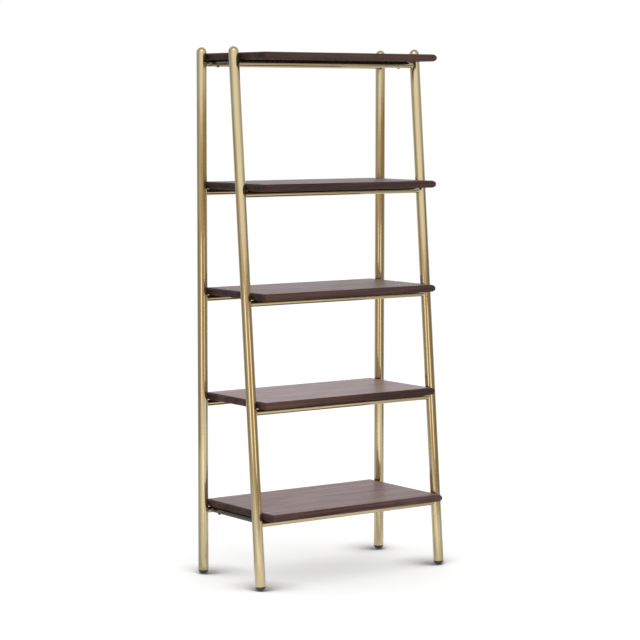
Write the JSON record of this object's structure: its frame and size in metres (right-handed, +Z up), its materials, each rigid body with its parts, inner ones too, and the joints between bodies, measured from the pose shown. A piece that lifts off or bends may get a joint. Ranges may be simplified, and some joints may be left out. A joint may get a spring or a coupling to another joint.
{
  "type": "bookcase",
  "caption": "ladder bookcase with a brass tube frame, dark walnut shelves one above another, front legs that lean back as they rise, and domed levelling feet",
  "frame": {"origin": "on the floor, at the middle of the bounding box's lower face", "axes": "+Z is up; -Y is the front, where the legs lean; +X is to the right seen from the front"},
  "size_m": [0.792, 0.418, 1.8],
  "materials": {
    "brass": "satin brushed",
    "walnut": "satin lacquer",
    "dark_steel": "satin",
    "black_screw": "satin",
    "zinc": "bright zinc",
    "nylon": "matte",
    "glide": "satin"
  },
  "bodies": {
    "frame": {"front_leg_left": "brass", "front_leg_right": "brass", "rear_leg_left": "brass", "rear_leg_right": "brass", "front_rail_top": "brass", "front_rail_fourth": "brass", "front_rail_third": "brass", "front_rail_second": "brass", "front_rail_bottom": "brass", "back_rail_top": "brass", "back_rail_fourth": "brass", "back_rail_third": "brass", "back_rail_second": "brass", "back_rail_bottom": "brass", "side_rail_top_left": "dark_steel", "side_rail_top_right": "dark_steel", "side_rail_bottom_left": "dark_steel", "side_rail_bottom_right": "dark_steel", "shelf_top": "walnut", "shelf_fourth": "walnut", "shelf_third": "walnut", "shelf_second": "walnut", "shelf_bottom": "walnut", "side_screw_top_front_left": "black_screw", "side_screw_top_front_right": "black_screw", "side_screw_top_back_left": "black_screw", "side_screw_top_back_right": "black_screw", "side_screw_bottom_front_left": "black_screw", "side_screw_bottom_front_right": "black_screw", "side_screw_bottom_back_left": "black_screw", "side_screw_bottom_back_right": "black_screw", "rail_screw_fourth_front_left": "black_screw", "rail_screw_fourth_front_right": "black_screw", "rail_screw_fourth_back_left": "black_screw", "rail_screw_fourth_back_right": "black_screw", "rail_screw_third_front_left": "black_screw", "rail_screw_third_front_right": "black_screw", "rail_screw_third_back_left": "black_screw", "rail_screw_third_back_right": "black_screw", "rail_screw_second_front_left": "black_screw", "rail_screw_second_front_right": "black_screw", "rail_screw_second_back_left": "black_screw", "rail_screw_second_back_right": "black_screw", "foot_insert_front_left": "nylon", "foot_insert_front_right": "nylon", "foot_insert_rear_left": "nylon", "foot_insert_rear_right": "nylon"},
    "stud_front_left": {"foot_stud_front_left": "zinc"},
    "stud_front_right": {"foot_stud_front_right": "zinc"},
    "stud_rear_left": {"foot_stud_rear_left": "zinc"},
    "stud_rear_right": {"foot_stud_rear_right": "zinc"},
    "glide_front_left": {"foot_glide_front_left": "glide"},
    "glide_front_right": {"foot_glide_front_right": "glide"},
    "glide_rear_left": {"foot_glide_rear_left": "glide"},
    "glide_rear_right": {"foot_glide_rear_right": "glide"}
  },
  "joints": [
    {"name": "foot_travel_front_left", "type": "slide", "parent": "frame", "child": "stud_front_left", "axis": [0, -0.0863, -0.9963], "range_m": [0, 0.008]},
    {"name": "foot_travel_front_right", "type": "slide", "parent": "frame", "child": "stud_front_right", "axis": [0, -0.0863, -0.9963], "range_m": [0, 0.008]},
    {"name": "foot_travel_rear_left", "type": "slide", "parent": "frame", "child": "stud_rear_left", "axis": [0, 0, -1], "range_m": [0, 0.008]},
    {"name": "foot_travel_rear_right", "type": "slide", "parent": "frame", "child": "stud_rear_right", "axis": [0, 0, -1], "range_m": [0, 0.008]},
    {"name": "foot_turn_front_left", "type": "hinge", "parent": "stud_front_left", "child": "glide_front_left", "pos_m": [-0.3785, -0.16475, 0.01445], "axis": [0, -0.0863, -0.9963], "range_deg": [0, 2310]},
    {"name": "foot_turn_front_right", "type": "hinge", "parent": "stud_front_right", "child": "glide_front_right", "pos_m": [0.3785, -0.16475, 0.01445], "axis": [0, -0.0863, -0.9963], "range_deg": [0, 2310]},
    {"name": "foot_turn_rear_left", "type": "hinge", "parent": "stud_rear_left", "child": "glide_rear_left", "pos_m": [-0.3785, 0.183, 0.0145], "axis": [0, 0, -1], "range_deg": [0, 2310]},
    {"name": "foot_turn_rear_right", "type": "hinge", "parent": "stud_rear_right", "child": "glide_rear_right", "pos_m": [0.3785, 0.183, 0.0145], "axis": [0, 0, -1], "range_deg": [0, 2310]}
  ],
  "couplings": [
    {"joint": "foot_turn_front_left", "follows": "foot_travel_front_left", "rad_per_m": 5026.5},
    {"joint": "foot_turn_front_right", "follows": "foot_travel_front_right", "rad_per_m": 5026.5},
    {"joint": "foot_turn_rear_left", "follows": "foot_travel_rear_left", "rad_per_m": 5026.5},
    {"joint": "foot_turn_rear_right", "follows": "foot_travel_rear_right", "rad_per_m": 5026.5}
  ]
}
